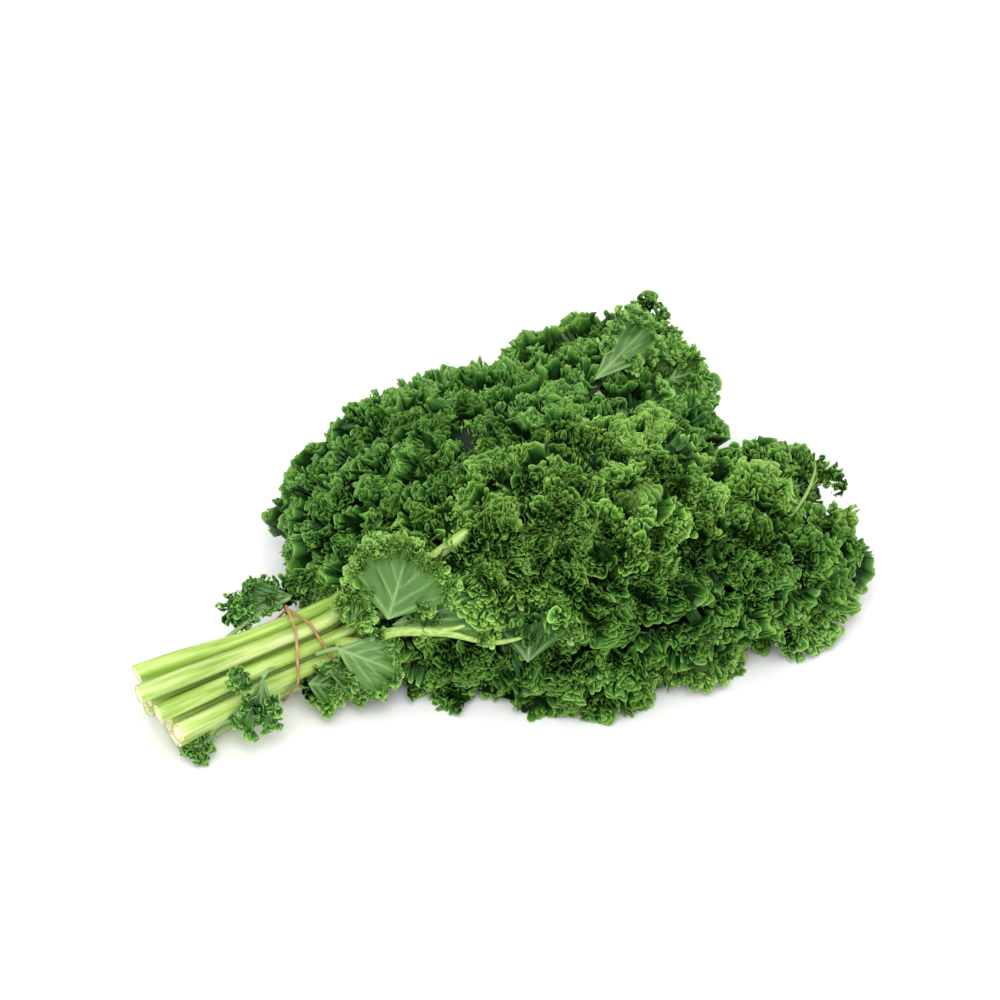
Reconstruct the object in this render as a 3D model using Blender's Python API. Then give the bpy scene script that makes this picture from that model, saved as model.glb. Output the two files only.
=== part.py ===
"""A bunch of curly kale lying on its side: fourteen stalks held by a rubber band, a leaf blade on
each stalk, and four small leaflets. Blender 4.5, metres, +Z up.

The bunch lies along X with its cut ends at -X and its leaf tips at +X. The origin is on the surface
it lies on, under the middle of its box. Inside this script, `x` counts from the rubber band.
"""
import math

import bmesh
import bpy
from mathutils import Vector

# Where the bunch stands in its own frame
BAND_X = -0.10650
BAND_Y = 0.00504

# The bundle of stalks, in five rows of offset stalks
ROWS = (2, 3, 4, 3, 2)
PITCH = 0.0103
ROW_RISE = PITCH * math.sqrt(3) / 2
LOWEST_STALK = 0.0112
END_HEIGHT = 0.0070
END_SPREAD_Y = 1.42
END_SPREAD_Z = 1.24
END_RADIUS = 0.0063
BAND_RADIUS = 0.0048
RIB_RADIUS = 0.0033
RIB_TIP_RADIUS = 0.0011
SHORTEST_END = 0.076
END_STEP = 0.0042
END_WANDER = 0.004
END_TURN = 2.4
STRAIGHT_TO = 0.018
END_SHARES = (0.0, 0.35, 0.7, 0.88, 1.0)
RISE_SHARES = (0.35, 0.7)

# The head of leaves, a stack of five layers that opens out from the bundle
BUNDLE_HALF = 0.0205
HEAD_LOW = 0.052
HEAD_HIGH = 0.120
HEAD_RISE = 0.150
HEAD_FALL_FROM = 0.190
HEAD_FALL = 0.130
HEAD_TIP = 0.101
LEFT_REACH = (0.100, 0.102, 0.100, 0.094, 0.072)
LEFT_BULGE = 0.022
BULGE_RISE = 0.060
BULGE_FALL_FROM = 0.090
BULGE_FALL = 0.080
LEFT_SWEEP = 0.042
RIGHT_REACH = (0.120, 0.122, 0.108, 0.088, 0.060)
RIGHT_SWEEP = 0.030
SWEEP_FROM = 0.190
SWEEP_LENGTH = 0.100
LEFT_OPENS = 0.056
MIDDLE_OPENS = 0.190
RIGHT_OPENS = 0.142
GAP = 0.0004

# Each blade: where it starts and ends along the bunch, row by row from the lowest, -Y side first
BLADES = (
    ((0.044, 0.280), (0.038, 0.268)),
    ((0.042, 0.298), (0.040, 0.285), (0.032, 0.276)),
    ((0.044, 0.286), (0.042, 0.310), (0.038, 0.284), (0.030, 0.278)),
    ((0.048, 0.256), (0.044, 0.278), (0.030, 0.292)),
    ((0.060, 0.226), (0.034, 0.240)),
)
LEAN = {(2, 1): -0.5, (3, 1): 0.4, (3, 2): 0.2}
STATIONS = 13
BASE_WIDTH = 0.86
BASE_PART = 0.3
TIP_WIDTH = 0.46
TIP_THICKNESS = 0.60
TIP_FROM = 0.6
LOBE_DEPTH = 0.10
LOBES = 3.5

# A blade's cross-section: the share of its width at the floor and at the top, and its full belly
FOOT = 0.80
SHOULDER = 0.85
BELLY_LOW = 0.35
BELLY_HIGH = 0.65

# The rib's groove in the top of its blade
RIB_END = 0.86
RIB_TAPER = 0.8
GROOVE_SIDE = 1.4
GROOVE_CLEAR = 0.0010
RIB_BED = 0.0008
EDGE_ROOM = 0.0003

# The rubber band goes round the bundle twice
BAND_WIRE = 0.0010
BAND_SWING = 0.014
BAND_POINTS = 96
BAND_CROSSING = math.radians(70)
BAND_CLEAR = 0.00035
SUPPORT_STEPS = 72
LEAST_FACING = 0.05

# Leaflets: centre from the band, half sizes, turn about Z in degrees
LEAFLETS = (
    ("leaflet_hanging", (-0.040, -0.0300, 0.0330), (0.0100, 0.0032, 0.0220), 0),
    ("leaflet_by_band", (0.018, -0.0325, 0.0390), (0.0250, 0.0050, 0.0165), -12),
    ("leaflet_low", (-0.073, -0.0212, 0.0062), (0.0110, 0.0040, 0.0045), 8),
    ("leaflet_high", (-0.018, 0.0220, 0.0550), (0.0140, 0.0045, 0.0070), 6),
)
LEAFLET_SEGMENTS = 14
LEAFLET_RINGS = 8
TUBE_SIDES = 2

# Plain looks: colour and roughness
BLADE_GREEN = (0.075, 0.190, 0.045)
BLADE_ROUGHNESS = 0.55
STALK_GREEN = (0.560, 0.680, 0.260)
STALK_ROUGHNESS = 0.42
BAND_BROWN = (0.560, 0.300, 0.150)
BAND_ROUGHNESS = 0.60


def clear_scene():
    for thing in list(bpy.data.objects):
        bpy.data.objects.remove(thing, do_unlink=True)


def material(name, colour, roughness):
    made = bpy.data.materials.new(name)
    made.use_nodes = True
    shader = made.node_tree.nodes["Principled BSDF"]
    shader.inputs["Base Color"].default_value = (*colour, 1.0)
    shader.inputs["Roughness"].default_value = roughness
    shader.inputs["Metallic"].default_value = 0.0
    return made


def ease(value):
    value = min(max(value, 0.0), 1.0)
    return value * value * (3.0 - 2.0 * value)


def place(x, y, z):
    """A point counted from the band, in the bunch's own frame."""
    return Vector((x + BAND_X, y + BAND_Y, z))


def head_height(x):
    rise = (HEAD_HIGH - HEAD_LOW) * ease(x / HEAD_RISE)
    fall = (HEAD_HIGH - HEAD_TIP) * ease((x - HEAD_FALL_FROM) / HEAD_FALL)
    return HEAD_LOW + rise - fall


def head_side(x, across, row):
    """Y of a line that runs out through the head: across is -1 on its -Y side and 1 on its +Y."""
    inner = BUNDLE_HALF * across
    sweep = ease((x - SWEEP_FROM) / SWEEP_LENGTH)
    if across > 0:
        edge = LEFT_OPENS
        bulge = LEFT_BULGE * ease(x / BULGE_RISE) * (1.0 - ease((x - BULGE_FALL_FROM) / BULGE_FALL))
        outer = across * (LEFT_REACH[row] + bulge + LEFT_SWEEP * sweep)
    else:
        edge = RIGHT_OPENS
        outer = across * (RIGHT_REACH[row] + RIGHT_SWEEP * sweep)
    opens = MIDDLE_OPENS + (edge - MIDDLE_OPENS) * across ** 4
    return inner + (outer - inner) * ease(x / opens)


def slot(row, column):
    """Where a stalk crosses the band's plane, as (y, z)."""
    y = (column - (ROWS[row] - 1) / 2) * PITCH
    return y, LOWEST_STALK + row * ROW_RISE


def cell(x, row, column):
    """The room that a blade has at x: its two sides, its floor and its top."""
    step = 2.0 / ROWS[row]
    low_side = head_side(x, -1.0 + step * column, row) + GAP
    high_side = head_side(x, -1.0 + step * (column + 1), row) - GAP
    layer = head_height(x) / len(ROWS)
    floor = layer * row + (GAP if row else 0.0)
    return low_side, high_side, floor, layer * (row + 1) - GAP


def rib_radius(share):
    return RIB_RADIUS + (RIB_TIP_RADIUS - RIB_RADIUS) * share ** RIB_TAPER


def groove_half(radius):
    return radius * GROOVE_SIDE + GROOVE_CLEAR


def rib_y(x, row, column, radius):
    """A rib leaves the bundle gently and ends in the middle of its blade."""
    low_side, high_side, _, _ = cell(x, row, column)
    start, _ = slot(row, column)
    aim = (low_side + high_side) / 2 + LEAN.get((row, column), 0.0) * (high_side - low_side) / 2
    wanted = start + (aim - start) * ease((x - STRAIGHT_TO) / MIDDLE_OPENS)
    room = groove_half(radius) / SHOULDER + EDGE_ROOM
    return min(max(wanted, low_side + room), high_side - room)


def outline(share, number):
    """Half width of a blade along its length, with shallow lobes."""
    grow = BASE_WIDTH + (1.0 - BASE_WIDTH) * ease(share / BASE_PART)
    taper = 1.0 - (1.0 - TIP_WIDTH) * ease((share - TIP_FROM) / (1.0 - TIP_FROM)) ** 1.5
    lobe = 1.0 - LOBE_DEPTH * (0.5 + 0.5 * math.cos(2 * math.pi * LOBES * share + number))
    return grow * taper * lobe


def blade_sections(row, column, number):
    """Outlines of a blade across X, each with a groove in its top for the rib, and the rib's path."""
    start, end = BLADES[row][column]
    sections = []
    path = []
    for station in range(STATIONS):
        share = station / (STATIONS - 1)
        x = start + (end - start) * share
        radius = rib_radius(share)
        y = rib_y(x, row, column, radius)
        low_side, high_side, floor, top = cell(x, row, column)
        width = outline(share, number)
        thin = 1.0 - (1.0 - TIP_THICKNESS) * ease((share - TIP_FROM) / (1.0 - TIP_FROM))
        middle = (floor + top) / 2
        deep = middle - (middle - floor) * thin if row else floor
        high = deep + (top - floor) * thin
        tall = high - deep
        groove = groove_half(radius)
        least = groove / SHOULDER + EDGE_ROOM
        left = max((y - low_side) * width, least)
        right = max((high_side - y) * width, least)
        bed = high - 2 * radius - GROOVE_CLEAR
        belly_low = deep + tall * BELLY_LOW
        belly_high = deep + tall * BELLY_HIGH
        sections.append([
            place(x, y - left * FOOT, deep), place(x, y + right * FOOT, deep),
            place(x, y + right, belly_low), place(x, y + right, belly_high),
            place(x, y + right * SHOULDER, high), place(x, y + groove, high),
            place(x, y + groove, bed), place(x, y - groove, bed), place(x, y - groove, high),
            place(x, y - left * SHOULDER, high), place(x, y - left, belly_high),
            place(x, y - left, belly_low),
        ])
        if share <= RIB_END:
            path.append((Vector((x, y, bed + RIB_BED + radius)), radius))
    return sections, path


def loft(name, sections, look, parts):
    """One closed solid through outlines that change along the way."""
    mesh = bpy.data.meshes.new(name)
    bm = bmesh.new()
    rings = [[bm.verts.new(point) for point in section] for section in sections]
    count = len(rings[0])
    for near, far in zip(rings, rings[1:]):
        for index in range(count):
            after = (index + 1) % count
            bm.faces.new((near[index], near[after], far[after], far[index]))
    bm.faces.new(rings[0])
    bm.faces.new(rings[-1])
    bmesh.ops.recalc_face_normals(bm, faces=bm.faces)
    bm.to_mesh(mesh)
    bm.free()
    mesh.materials.append(look)
    made = bpy.data.objects.new(name, mesh)
    parts.objects.link(made)
    return made


def tube(name, points, radii, wire, cyclic, look, parts):
    """A round rod through points, its thickness following radii."""
    curve = bpy.data.curves.new(name, "CURVE")
    curve.dimensions = "3D"
    curve.bevel_depth = wire
    curve.bevel_resolution = TUBE_SIDES
    curve.use_fill_caps = not cyclic
    spline = curve.splines.new("POLY")
    spline.points.add(len(points) - 1)
    spline.use_cyclic_u = cyclic
    for item, point, radius in zip(spline.points, points, radii):
        item.co = (*point, 1.0)
        item.radius = radius / wire
    curve.materials.append(look)
    made = bpy.data.objects.new(name, curve)
    parts.objects.link(made)
    return made


def stalk_path(row, column, number, rib_path):
    """From the cut end, through the band, to the blade and along it as its rib."""
    y, z = slot(row, column)
    cut = -(SHORTEST_END + END_STEP * row + END_WANDER * math.cos(END_TURN * number))
    end_y = y * END_SPREAD_Y
    end_z = END_HEIGHT + (z - LOWEST_STALK) * END_SPREAD_Z
    points = []
    radii = []
    for share in END_SHARES:
        lift = ease(share)
        points.append(Vector((cut * (1 - share) - BAND_SWING * share,
                              end_y + (y - end_y) * lift, end_z + (z - end_z) * lift)))
        radii.append(END_RADIUS + (BAND_RADIUS - END_RADIUS) * lift)
    points.append(Vector((STRAIGHT_TO, y, z)))
    radii.append(BAND_RADIUS)
    first, first_radius = rib_path[0]
    for share in RISE_SHARES:
        lift = ease(share)
        points.append(Vector((STRAIGHT_TO + (first.x - STRAIGHT_TO) * share,
                              y + (first.y - y) * lift, z + (first.z - z) * lift)))
        radii.append(BAND_RADIUS + (first_radius - BAND_RADIUS) * share)
    for point, radius in rib_path:
        points.append(point)
        radii.append(radius)
    return [place(*point) for point in points], radii


def bundle_side(angle, clear):
    """The taut outline round the bundle at an angle, as (y, z), clear of the outer stalks."""
    middle = LOWEST_STALK + (len(ROWS) - 1) / 2 * ROW_RISE
    support = []
    for step in range(SUPPORT_STEPS):
        turn = 2 * math.pi * step / SUPPORT_STEPS
        way = Vector((math.cos(turn), math.sin(turn)))
        reach = max(Vector((slot(row, column)[0], slot(row, column)[1] - middle)).dot(way)
                    for row in range(len(ROWS)) for column in range(ROWS[row]))
        support.append((way, reach + BAND_RADIUS + clear))
    ray = Vector((math.cos(angle), math.sin(angle)))
    length = min(reach / way.dot(ray) for way, reach in support if way.dot(ray) > LEAST_FACING)
    return ray.x * length, ray.y * length + middle


def band_path():
    """Twice round: the two turns cross once, at the top and back, one over the other."""
    points = []
    for step in range(BAND_POINTS):
        turn = 4 * math.pi * step / BAND_POINTS
        over = (2 * BAND_WIRE + BAND_CLEAR) * max(0.0, math.sin(turn / 2)) ** 3
        y, z = bundle_side(turn + BAND_CROSSING - math.pi, BAND_CLEAR + BAND_WIRE + over)
        points.append(place(BAND_SWING * math.cos(turn / 2), y, z))
    return points


def leaflet(name, centre, half, turn, look, parts):
    """A small folded leaf, kept as a plain rounded solid."""
    mesh = bpy.data.meshes.new(name)
    bm = bmesh.new()
    bmesh.ops.create_uvsphere(bm, u_segments=LEAFLET_SEGMENTS, v_segments=LEAFLET_RINGS, radius=1.0)
    bmesh.ops.scale(bm, vec=half, verts=bm.verts)
    bm.to_mesh(mesh)
    bm.free()
    mesh.materials.append(look)
    made = bpy.data.objects.new(name, mesh)
    made.location = place(*centre)
    made.rotation_euler = (0.0, 0.0, math.radians(turn))
    parts.objects.link(made)
    return made


def build():
    clear_scene()
    parts = bpy.data.collections.new("kale_bunch")
    bpy.context.scene.collection.children.link(parts)
    blade_look = material("blade_green", BLADE_GREEN, BLADE_ROUGHNESS)
    stalk_look = material("stalk_green", STALK_GREEN, STALK_ROUGHNESS)
    band_look = material("band_rubber", BAND_BROWN, BAND_ROUGHNESS)
    number = 0
    for row, columns in enumerate(ROWS):
        for column in range(columns):
            number += 1
            sections, rib_path = blade_sections(row, column, number)
            loft(f"leaf_{number:02d}", sections, blade_look, parts)
            points, radii = stalk_path(row, column, number, rib_path)
            tube(f"stalk_{number:02d}", points, radii, END_RADIUS, False, stalk_look, parts)
    ring = band_path()
    tube("rubber_band", ring, [BAND_WIRE] * len(ring), BAND_WIRE, True, band_look, parts)
    for name, centre, half, turn in LEAFLETS:
        leaflet(name, centre, half, turn, blade_look, parts)
    for made in parts.objects:
        if made.type == "MESH":
            made.data.shade_smooth()


build()
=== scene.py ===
import math
import bmesh
import bpy
import numpy as np
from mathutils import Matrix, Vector
from mathutils.bvhtree import BVHTree


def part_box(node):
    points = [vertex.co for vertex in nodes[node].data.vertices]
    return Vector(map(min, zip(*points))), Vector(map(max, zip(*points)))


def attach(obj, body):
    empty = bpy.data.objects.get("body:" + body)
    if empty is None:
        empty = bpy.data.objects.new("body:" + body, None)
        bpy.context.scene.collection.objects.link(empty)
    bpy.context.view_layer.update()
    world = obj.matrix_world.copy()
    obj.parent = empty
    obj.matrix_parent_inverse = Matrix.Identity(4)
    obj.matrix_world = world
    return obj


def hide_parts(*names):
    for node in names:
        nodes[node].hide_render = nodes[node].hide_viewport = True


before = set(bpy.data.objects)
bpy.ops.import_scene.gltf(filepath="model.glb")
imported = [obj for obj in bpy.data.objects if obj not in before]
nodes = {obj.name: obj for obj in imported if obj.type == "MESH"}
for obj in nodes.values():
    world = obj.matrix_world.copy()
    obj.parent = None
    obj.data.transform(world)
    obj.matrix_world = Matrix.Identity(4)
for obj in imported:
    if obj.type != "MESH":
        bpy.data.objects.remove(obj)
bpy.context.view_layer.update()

bandLow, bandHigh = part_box("rubber_band")
bandX = (bandLow.x + bandHigh.x) / 2
bandY = (bandLow.y + bandHigh.y) / 2

# the way the stalks and blades are laid out, counted from the band, row by row from the bottom
rowSizes = (2, 3, 4, 3, 2)
pitch = 0.0103    # from one stalk to the next
rowRise = pitch * math.sqrt(3) / 2
lowestStalk = 0.0112
blades = (    # where each midrib starts and ends
    ((0.044, 0.28), (0.038, 0.268)),
    ((0.042, 0.298), (0.04, 0.285), (0.032, 0.276)),
    ((0.044, 0.286), (0.042, 0.31), (0.038, 0.284), (0.03, 0.278)),
    ((0.048, 0.256), (0.044, 0.278), (0.03, 0.292)),
    ((0.06, 0.226), (0.034, 0.24)),
)
leans = {(2, 1): -0.5, (3, 1): 0.4, (3, 2): 0.2}    # how far a midrib lies off the middle of its cell
leftReach = (0.1, 0.102, 0.1, 0.094, 0.072)
rightReach = (0.12, 0.122, 0.108, 0.088, 0.06)
bladeGap = 0.0004
headSize = {"neck": 0.052, "rise": 0.068, "riseOver": 0.15, "drop": 0.019, "wide": 0.19, "dropOver": 0.13,
            "core": 0.0205, "sweepOver": 0.1, "sweepLeft": 0.042, "sweepRight": 0.03, "edgeLeft": 0.056,
            "edgeRight": 0.142, "bulge": 0.022}
rib = {"thick": 0.0033, "taper": 0.0022, "turnFrom": 0.018, "turnOver": 0.19, "skin": 0.0002,
       "side": 1.4, "spare": 0.001, "thinFrom": 0.6, "thin": 0.4}


def ease(values):
    values = np.clip(values, 0.0, 1.0)
    return values * values * (3 - 2 * values)


def headHeight(x):
    drop = headSize["drop"] * ease((x - headSize["wide"]) / headSize["dropOver"])
    return headSize["neck"] + headSize["rise"] * ease(x / headSize["riseOver"]) - drop


def headSide(x, across, row):
    inner = headSize["core"] * across
    sweep = ease((x - headSize["wide"]) / headSize["sweepOver"])
    if across > 0:
        edge = headSize["edgeLeft"]
        bulge = headSize["bulge"] * ease(x / 0.06) * (1 - ease((x - 0.09) / 0.08))
        outer = across * (leftReach[row] + bulge + headSize["sweepLeft"] * sweep)
    else:
        edge = headSize["edgeRight"]
        outer = across * (rightReach[row] + headSize["sweepRight"] * sweep)
    opens = headSize["wide"] + (edge - headSize["wide"]) * across ** 4
    return inner + (outer - inner) * ease(x / opens)


def cell(x, row, column):
    step = 2 / rowSizes[row]
    low = headSide(x, -1 + step * column, row) + bladeGap
    high = headSide(x, -1 + step * (column + 1), row) - bladeGap
    layer = headHeight(x) / len(rowSizes)
    return low, high, layer * row + (bladeGap if row else 0.0), layer * (row + 1) - bladeGap


def stalkSlot(row, column):
    return (column - (rowSizes[row] - 1) / 2) * pitch, lowestStalk + row * rowRise


def ribPoint(share, row, column):
    # middle of a midrib, counted from the band, and its radius
    start, end = blades[row][column]
    x = start + (end - start) * share
    radius = rib["thick"] - rib["taper"] * share ** 0.8
    low, high, floor, top = cell(x, row, column)
    y0, _ = stalkSlot(row, column)
    aim = (low + high) / 2 + leans.get((row, column), 0.0) * (high - low) / 2
    wanted = y0 + (aim - y0) * ease((x - rib["turnFrom"]) / rib["turnOver"])
    room = (radius * rib["side"] + rib["spare"]) / 0.85 + 0.0003
    y = min(max(wanted, low + room), high - room)
    thin = 1 - rib["thin"] * ease((share - rib["thinFrom"]) / (1 - rib["thinFrom"]))
    deep = (floor + top) / 2 - ((floor + top) / 2 - floor) * thin if row else floor
    tall = (top - floor) * thin
    return Vector((x, y, deep + tall - radius - rib["skin"])), radius


def place(point):
    return Vector((point[0] + bandX, point[1] + bandY, point[2]))


def placed(points):
    return np.array([tuple(place(point)) for point in points])


def unit(rows):
    return rows / np.linalg.norm(rows, axis=1, keepdims=True)


# the row and column of each numbered leaf
leafCells = [(row, column) for row, count in enumerate(rowSizes) for column in range(count)]
leafPlaces = dict(enumerate(leafCells, 1))
heights = {"top": 0.124, "soften": 0.007, "bottom": 0.0006}    # every sheet stays between these


def linked(name, data):
    made = bpy.data.objects.new(name, data)
    bpy.context.collection.objects.link(made)
    return made


def finishMesh(name, mesh, material):
    mesh.shade_smooth()
    mesh.materials.append(material)
    return linked(name, mesh)


class Sheets:
    # several grids of points gathered into one mesh

    def __init__(self):
        self.bm = bmesh.new()
        self.points = []
        self.data = {}

    def add(self, points, **values):
        rows, columns = points.shape[:2]
        z, top, soften = points[..., 2], heights["top"], heights["soften"]
        eased = top + soften * np.tanh((z - top) / soften)
        points[..., 2] = np.where(z > top, eased, np.maximum(z, heights["bottom"]))
        bmesh.ops.create_grid(self.bm, x_segments=columns - 1, y_segments=rows - 1, size=1)
        self.points.append(points.reshape(-1, 3))
        for key in ("rim", "tint", "vein"):
            value = np.broadcast_to(values.get(key, 0.0), (rows, columns))
            self.data.setdefault(key, []).append(value.reshape(-1))

    def make(self, name, material):
        mesh = bpy.data.meshes.new(name)
        self.bm.to_mesh(mesh)
        self.bm.free()
        mesh.vertices.foreach_set("co", np.concatenate(self.points).astype(np.float32).ravel())
        for key, parts in self.data.items():
            layer = mesh.attributes.new(key, "FLOAT", "POINT")
            layer.data.foreach_set("value", np.concatenate(parts).astype(np.float32))
        mesh.update()
        return finishMesh(name, mesh, material)


def wander(rng, share, knots, closed=False):
    # smooth random values from -1 to 1 along share
    marks = rng.uniform(-1, 1, knots + 4)
    if closed:
        marks[knots + 1:] = marks[1:4]
        marks[0] = marks[knots]
    at = np.clip(share, 0, 1) * knots + 1
    i = np.clip(np.floor(at).astype(int), 1, knots + 1)
    f = at - i
    a, b, c, d = marks[i - 1], marks[i], marks[i + 1], marks[np.minimum(i + 2, knots + 3)]
    return 0.5 * (2 * b + (c - a) * f + (2 * a - 5 * b + 4 * c - d) * f ** 2
                  + (3 * b - a - 3 * c + d) * f ** 3)


# how a leaf margin grows: sizes has each radius with its points and how many margins are grown
margin = {"seed": 70, "strand": 0.00165, "link": 0.0009, "steps": 260, "levels": 2, "start": 0.003,
          "late": 0.36, "points": 14, "foot": 1.15, "jitter": 0.0002, "pace": 1.35, "uneven": (0.6, 1.4),
          "look": 3, "near": 1.5, "push": 0.00075, "pull": 0.35, "even": 0.28, "stride": 0.0006,
          "waves": (0.26, 0.14), "widen": 0.75, "border": 0.3, "flare": 0.0005, "flares": (0.45, 1.0),
          "crinkle": 0.0011, "sizes": ((0.026, 1440, 3), (0.0185, 800, 6), (0.013, 405, 5), (0.0085, 176, 5),
                                       (0.005, 58, 4))}
tiny = 1e-9


def nearPairs(spots):
    # which parts of the margin are near enough to press on each other
    flat = spots.astype(np.float32)
    apart = ((flat[:, None, :] - flat[None, :, :]) ** 2).sum(2)
    first, second = np.nonzero(apart < (margin["strand"] * margin["near"]) ** 2)
    keep = second - first > 2
    return first[keep], second[keep]


def withHalfway(points, split):
    return np.insert(points, split + 1, (points[split] + points[split + 1]) / 2, axis=0)


def growMargin(rng, radius, most):
    # a leaf margin that grows longer than its room, seen from above, one curve a level
    n, start = margin["points"], margin["start"]
    ends = math.pi - margin["foot"]
    angles = np.linspace(-ends, ends, n)
    spots = np.stack([np.cos(angles), np.sin(angles)], 1) * start
    spots += rng.normal(0, margin["jitter"], spots.shape)
    history = [spots.copy()]
    steps, levels = margin["steps"], margin["levels"]
    stops = [round(steps * ((k + 1) / levels) ** margin["late"]) for k in range(levels)]
    phase = rng.uniform(0, 2 * math.pi, 2)
    for step in range(1, steps + 1):
        share = step / steps
        wanted = int(margin["points"] + (most - margin["points"]) * share ** margin["pace"])
        extra = min(wanted - n, max(1, n // 10))
        if extra > 0:
            lengths = np.linalg.norm(spots[1:] - spots[:-1], axis=1) * rng.uniform(*margin["uneven"], n - 1)
            split = np.sort(np.argsort(-lengths)[:extra])
            spots = withHalfway(spots, split)
            history = [withHalfway(old, split) for old in history]
            n = len(spots)
        if step % margin["look"] == 1 or extra > 0:
            first, second = nearPairs(spots)
        gap = spots[first] - spots[second]
        distance = np.sqrt((gap ** 2).sum(1)) + tiny
        reach = margin["strand"] * min(1.0, 0.45 + share)
        push = gap * (np.clip(1 - distance / reach, 0, 1) / distance * margin["push"])[:, None]
        force = np.stack([np.bincount(first, push[:, k], n) - np.bincount(second, push[:, k], n)
                          for k in (0, 1)], 1)
        seg = spots[1:] - spots[:-1]
        length = np.linalg.norm(seg, axis=1, keepdims=True) + tiny
        pull = seg / length * (length - margin["link"]) * margin["pull"]
        force[:-1] += pull
        force[1:] -= pull
        force[1:-1] += ((spots[:-2] + spots[2:]) / 2 - spots[1:-1]) * margin["even"]
        spots = spots + np.clip(force, -margin["stride"], margin["stride"])
        angle = np.arctan2(spots[:, 1], spots[:, 0])
        two, three = margin["waves"]
        wavy = 1 + two * np.sin(2 * angle + phase[0]) + three * np.sin(3 * angle + phase[1])
        room = (start + (radius - start) * share ** margin["widen"]) * wavy
        r = np.hypot(spots[:, 0], spots[:, 1])
        spots = spots - spots * (np.clip(r - room, 0, None) / np.maximum(r, tiny) * margin["border"])[:, None]
        if step in stops:
            history.append(spots.copy())
    for curve in history:
        curve[1:-1] = curve[1:-1] * 0.5 + (curve[:-2] + curve[2:]) * 0.25
    return np.stack(history)


marginKinds = {}
for radius, most, kinds in margin["sizes"]:
    seeds = [np.random.default_rng(margin["seed"] + kind) for kind in range(kinds)]
    marginKinds[radius] = [growMargin(rng, radius, most) for rng in seeds]
print("margins grown")


def sharpened(curves, rng):
    # lets the outer levels flare over the outside of each bend, with small teeth
    levels, n = curves.shape[:2]
    out = curves.copy()
    crinkle = wander(rng, np.linspace(0, 1, n), n // 3) * margin["crinkle"]
    for level, weight in zip((levels - 2, levels - 1), margin["flares"]):
        curve = curves[level]
        wide = np.pad(curve, ((3, 3), (0, 0)), mode="edge")
        inward = (wide[:-6] + wide[6:]) / 2 - curve
        size = np.linalg.norm(inward, axis=1, keepdims=True) + tiny
        flare = inward / size * np.minimum(size * 1.1, margin["flare"])
        along = wide[4:-2] - wide[2:-4]
        along /= np.linalg.norm(along, axis=1, keepdims=True) + tiny
        across = np.stack([-along[:, 1], along[:, 0]], 1)
        out[level] = curve + (crinkle[:, None] * across - flare) * weight
    return out


# a curl: how deep and how wide its levels are, from its foot to its margin, and how uneven its top is
curlShape = {"deep": np.array([0.0, 0.68, 1.0]), "wide": np.array([0.16, 0.94, 1.0]),
             "lifts": (0.0014, 0.0013), "lump": 0.0024, "lumpSize": 0.0042}


def crossWays(axis):
    # two directions across an axis
    side = axis.cross(Vector((0.13, 0.31, 0.94))).normalized()
    return side, axis.cross(side)


def lobe(rng, kindSize, spot, axis, limits, shape):
    # a cap of curly margin on a narrow foot: points, and how near the margin each is
    turn = rng.uniform(0, 2 * math.pi)
    flip = rng.choice([-1, 1])
    kinds = marginKinds[kindSize]
    curves = sharpened(kinds[int(rng.integers(len(kinds)))], rng)
    side, other = crossWays(axis)
    x = curves[..., 0]
    y = curves[..., 1] * flip
    angle = np.arctan2(y, x) + turn
    r = np.hypot(x, y) / kindSize
    bins = len(limits)
    at = (angle / (2 * math.pi) % 1.0) * bins
    i = np.floor(at).astype(int) % bins
    f = at - np.floor(at)
    limit = limits[i] * (1 - f) + limits[(i + 1) % bins] * f
    n = r.shape[1]
    share = np.linspace(0, 1, n)
    dome, depth = shape
    theta = r * limit / dome
    deep = curlShape["deep"][:, None] * np.ones((1, n))
    fine, broad = curlShape["lifts"]
    lift = (fine * wander(rng, share, n // 3) + broad * wander(rng, share, n // 12))[None, :]
    wide = curlShape["lumpSize"]
    lumps = curlShape["lump"] * np.sin(x / wide + rng.uniform(0, 6)) * np.sin(y / wide + rng.uniform(0, 6))
    normal = np.array(axis)
    out = np.cos(angle)[..., None] * np.array(side) + np.sin(angle)[..., None] * np.array(other)
    height = (depth - dome * (1 - np.cos(theta)) + lift + lumps) * deep
    flat = (dome * np.sin(theta) * curlShape["wide"][:, None])[..., None]
    points = np.array(spot) - normal * depth + out * flat
    points += normal * height[..., None]
    return points, deep


# the head of curls: kinds has each curl's size, with how many at most, its dome radius and its depth
head = {"rays": 28000, "seed": 11, "apart": 0.56, "proud": 0.006, "overlap": 1.42,
        "kinds": {0.026: (7, 0.13, 0.02), 0.0185: (85, 0.1, 0.018), 0.013: (600, 0.075, 0.015),
                  0.0085: (140, 0.05, 0.011), 0.005: (0, 0.012, 0.005)},
        "tilts": {0.026: 0.1, 0.0185: 0.17, 0.013: 0.3, 0.0085: 0.45},
        "hills": 0.003, "pits": 0.013, "pitFrom": 0.54, "pitOver": 0.2, "lowest": 0.01, "under": -0.5,
        "outward": 0.8, "rayReach": 0.5, "blur": 0.014, "own": 8, "bins": 40, "widest": 1.25, "nearby": 0.07,
        "facing": 0.15, "least": 0.006,
        "spine": ((0.07, 0.012), (0.11, 0.01), (0.15, 0.006), (0.19, 0.004), (0.23, 0.006),
                  (0.25, 0.07), (0.25, -0.07)), "spineHeight": 0.05}
goldenAngle = 2.399963


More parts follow.
